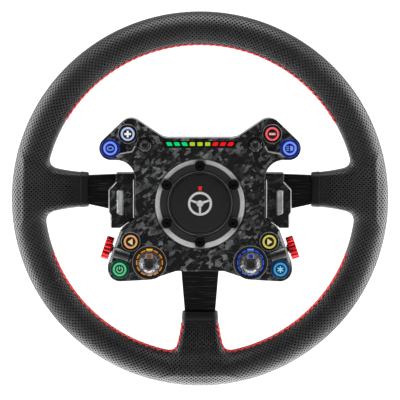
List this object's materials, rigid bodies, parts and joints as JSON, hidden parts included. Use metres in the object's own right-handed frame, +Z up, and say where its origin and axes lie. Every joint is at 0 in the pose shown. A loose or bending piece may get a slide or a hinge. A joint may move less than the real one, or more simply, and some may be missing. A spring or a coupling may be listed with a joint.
{
  "type": "quick release steering wheel",
  "caption": "Round leather wheel on flat spokes, with a forged carbon button box in front and a ball lock quick release behind.",
  "frame": {"origin": "centre of the quick release's rear mating face, on the steering axis", "axes": "+Y along the steering axis towards the car, away from the driver; +Z up to twelve o'clock; +X to the driver's right"},
  "size_m": [0.35, 0.0954, 0.35],
  "materials": {
    "leather": "perforated, satin",
    "foam": "matt",
    "spoke_black": "matt black anodised",
    "forged_carbon": "glossy forged carbon",
    "housing_black": "satin",
    "grey_aluminium": "fine brushed",
    "satin_black": "satin",
    "black_steel": "black oxide",
    "bright_steel": "polished",
    "smoked_lens": "gloss",
    "circuit_board": "solder mask",
    "bezel_black": "gloss",
    "bezel_blue": "lit",
    "bezel_green": "lit",
    "bezel_navy": "lit",
    "light_white": "lit",
    "light_pink": "lit",
    "light_blue": "lit",
    "light_orange": "lit",
    "light_yellow": "lit",
    "light_green": "lit",
    "light_cyan": "lit",
    "light_red": "lit",
    "joystick_rubber": "satin",
    "crystal_chrome": "faceted, bright",
    "red_anodised": "anodised",
    "red_thread": "waxed thread"
  },
  "bodies": {
    "wheel": {"rim_frame": "spoke_black", "rim_core": "foam", "rim_leather": "leather", "rear_housing": "housing_black", "front_plate": "forged_carbon", "side_panel_left": "forged_carbon", "side_panel_right": "forged_carbon", "shift_light_window": "smoked_lens", "hub_spacer": "grey_aluminium", "center_ring": "grey_aluminium", "center_cap": "satin_black", "hub_bolt_1": "black_steel", "hub_bolt_2": "black_steel", "hub_bolt_3": "black_steel", "hub_bolt_4": "black_steel", "hub_bolt_5": "black_steel", "hub_bolt_6": "black_steel", "main_circuit_board": "circuit_board", "button_bezel_upper_inner_left": "bezel_black", "button_bezel_upper_outer_left": "bezel_blue", "button_bezel_lower_inner_left": "bezel_black", "button_bezel_lower_outer_left": "bezel_green", "rotary_light_ring_left": "bezel_black", "paddle_bracket_left": "black_steel", "paddle_pin_left": "bright_steel", "button_bezel_upper_inner_right": "bezel_black", "button_bezel_upper_outer_right": "bezel_blue", "button_bezel_lower_inner_right": "bezel_black", "button_bezel_lower_outer_right": "bezel_navy", "rotary_light_ring_right": "bezel_black", "paddle_bracket_right": "black_steel", "paddle_pin_right": "bright_steel", "qr_body": "grey_aluminium", "qr_contact_block": "satin_black", "qr_retaining_ring": "bright_steel", "qr_spring": "bright_steel"},
    "button_upper_inner_left": {"button_cap_upper_inner_left": "light_white"},
    "button_upper_outer_left": {"button_cap_upper_outer_left": "light_blue"},
    "button_lower_inner_left": {"button_cap_lower_inner_left": "light_orange"},
    "button_lower_outer_left": {"button_cap_lower_outer_left": "light_green"},
    "joystick_gimbal_left": {"joystick_gimbal_left": "black_steel"},
    "joystick_cap_left": {"joystick_cap_left": "joystick_rubber"},
    "rotary_knob_left": {"rotary_knob_left": "crystal_chrome"},
    "thumb_wheel_left": {"thumb_wheel_left": "red_anodised"},
    "paddle_left": {"paddle_left": "forged_carbon"},
    "button_upper_inner_right": {"button_cap_upper_inner_right": "light_pink"},
    "button_upper_outer_right": {"button_cap_upper_outer_right": "light_blue"},
    "button_lower_inner_right": {"button_cap_lower_inner_right": "light_yellow"},
    "button_lower_outer_right": {"button_cap_lower_outer_right": "light_cyan"},
    "joystick_gimbal_right": {"joystick_gimbal_right": "black_steel"},
    "joystick_cap_right": {"joystick_cap_right": "joystick_rubber"},
    "rotary_knob_right": {"rotary_knob_right": "crystal_chrome"},
    "thumb_wheel_right": {"thumb_wheel_right": "red_anodised"},
    "paddle_right": {"paddle_right": "forged_carbon"},
    "qr_collar": {"qr_collar": "red_anodised"},
    "qr_ball_1": {"qr_ball_1": "bright_steel"},
    "qr_ball_2": {"qr_ball_2": "bright_steel"},
    "qr_ball_3": {"qr_ball_3": "bright_steel"},
    "qr_ball_4": {"qr_ball_4": "bright_steel"}
  },
  "joints": [
    {"name": "press_upper_inner_left", "type": "slide", "parent": "wheel", "child": "button_upper_inner_left", "axis": [0, 1, 0], "range_m": [0, 0.0015], "stiffness_N_per_m": 800},
    {"name": "press_upper_outer_left", "type": "slide", "parent": "wheel", "child": "button_upper_outer_left", "axis": [0, 1, 0], "range_m": [0, 0.0015], "stiffness_N_per_m": 800},
    {"name": "press_lower_inner_left", "type": "slide", "parent": "wheel", "child": "button_lower_inner_left", "axis": [0, 1, 0], "range_m": [0, 0.0015], "stiffness_N_per_m": 800},
    {"name": "press_lower_outer_left", "type": "slide", "parent": "wheel", "child": "button_lower_outer_left", "axis": [0, 1, 0], "range_m": [0, 0.0015], "stiffness_N_per_m": 800},
    {"name": "joystick_updown_left", "type": "hinge", "parent": "wheel", "child": "joystick_gimbal_left", "pos_m": [-0.0504, -0.077, 0.0543], "axis": [1, 0, 0], "range_deg": [-8, 8], "stiffness_Nm_per_rad": 0.08},
    {"name": "joystick_leftright_left", "type": "hinge", "parent": "joystick_gimbal_left", "child": "joystick_cap_left", "pos_m": [-0.0504, -0.077, 0.0543], "axis": [0, 0, 1], "range_deg": [-8, 8], "stiffness_Nm_per_rad": 0.08},
    {"name": "rotary_turn_left", "type": "hinge", "parent": "wheel", "child": "rotary_knob_left", "pos_m": [-0.0464, -0.081, -0.0541], "axis": [0, -1, 0], "continuous": true},
    {"name": "thumb_turn_left", "type": "hinge", "parent": "wheel", "child": "thumb_wheel_left", "pos_m": [-0.0855, -0.062, -0.0426], "axis": [-0.9489, 0, 0.3156], "continuous": true},
    {"name": "paddle_pull_left", "type": "hinge", "parent": "wheel", "child": "paddle_left", "pos_m": [-0.05, -0.036, 0.003], "axis": [0, 0, 1], "range_deg": [0, 5], "stiffness_Nm_per_rad": 2.5},
    {"name": "press_upper_inner_right", "type": "slide", "parent": "wheel", "child": "button_upper_inner_right", "axis": [0, 1, 0], "range_m": [0, 0.0015], "stiffness_N_per_m": 800},
    {"name": "press_upper_outer_right", "type": "slide", "parent": "wheel", "child": "button_upper_outer_right", "axis": [0, 1, 0], "range_m": [0, 0.0015], "stiffness_N_per_m": 800},
    {"name": "press_lower_inner_right", "type": "slide", "parent": "wheel", "child": "button_lower_inner_right", "axis": [0, 1, 0], "range_m": [0, 0.0015], "stiffness_N_per_m": 800},
    {"name": "press_lower_outer_right", "type": "slide", "parent": "wheel", "child": "button_lower_outer_right", "axis": [0, 1, 0], "range_m": [0, 0.0015], "stiffness_N_per_m": 800},
    {"name": "joystick_updown_right", "type": "hinge", "parent": "wheel", "child": "joystick_gimbal_right", "pos_m": [0.0504, -0.077, 0.0543], "axis": [1, 0, 0], "range_deg": [-8, 8], "stiffness_Nm_per_rad": 0.08},
    {"name": "joystick_leftright_right", "type": "hinge", "parent": "joystick_gimbal_right", "child": "joystick_cap_right", "pos_m": [0.0504, -0.077, 0.0543], "axis": [0, 0, 1], "range_deg": [-8, 8], "stiffness_Nm_per_rad": 0.08},
    {"name": "rotary_turn_right", "type": "hinge", "parent": "wheel", "child": "rotary_knob_right", "pos_m": [0.0464, -0.081, -0.0541], "axis": [0, -1, 0], "continuous": true},
    {"name": "thumb_turn_right", "type": "hinge", "parent": "wheel", "child": "thumb_wheel_right", "pos_m": [0.0855, -0.062, -0.0426], "axis": [0.9489, 0, 0.3156], "continuous": true},
    {"name": "paddle_pull_right", "type": "hinge", "parent": "wheel", "child": "paddle_right", "pos_m": [0.05, -0.036, 0.003], "axis": [0, 0, -1], "range_deg": [0, 5], "stiffness_Nm_per_rad": 2.5},
    {"name": "collar_pull", "type": "slide", "parent": "wheel", "child": "qr_collar", "axis": [0, -1, 0], "range_m": [0, 0.008], "stiffness_N_per_m": 1500, "deforming": ["qr_spring"]},
    {"name": "ball_release_1", "type": "slide", "parent": "wheel", "child": "qr_ball_1", "axis": [0.7071, 0, 0.7071], "range_m": [0, 0.0012]},
    {"name": "ball_release_2", "type": "slide", "parent": "wheel", "child": "qr_ball_2", "axis": [-0.7071, 0, 0.7071], "range_m": [0, 0.0012]},
    {"name": "ball_release_3", "type": "slide", "parent": "wheel", "child": "qr_ball_3", "axis": [-0.7071, 0, -0.7071], "range_m": [0, 0.0012]},
    {"name": "ball_release_4", "type": "slide", "parent": "wheel", "child": "qr_ball_4", "axis": [0.7071, 0, -0.7071], "range_m": [0, 0.0012]}
  ],
  "couplings": [
    {"joint": "ball_release_1", "follows": "collar_pull", "ratio": 0.15},
    {"joint": "ball_release_2", "follows": "collar_pull", "ratio": 0.15},
    {"joint": "ball_release_3", "follows": "collar_pull", "ratio": 0.15},
    {"joint": "ball_release_4", "follows": "collar_pull", "ratio": 0.15}
  ]
}
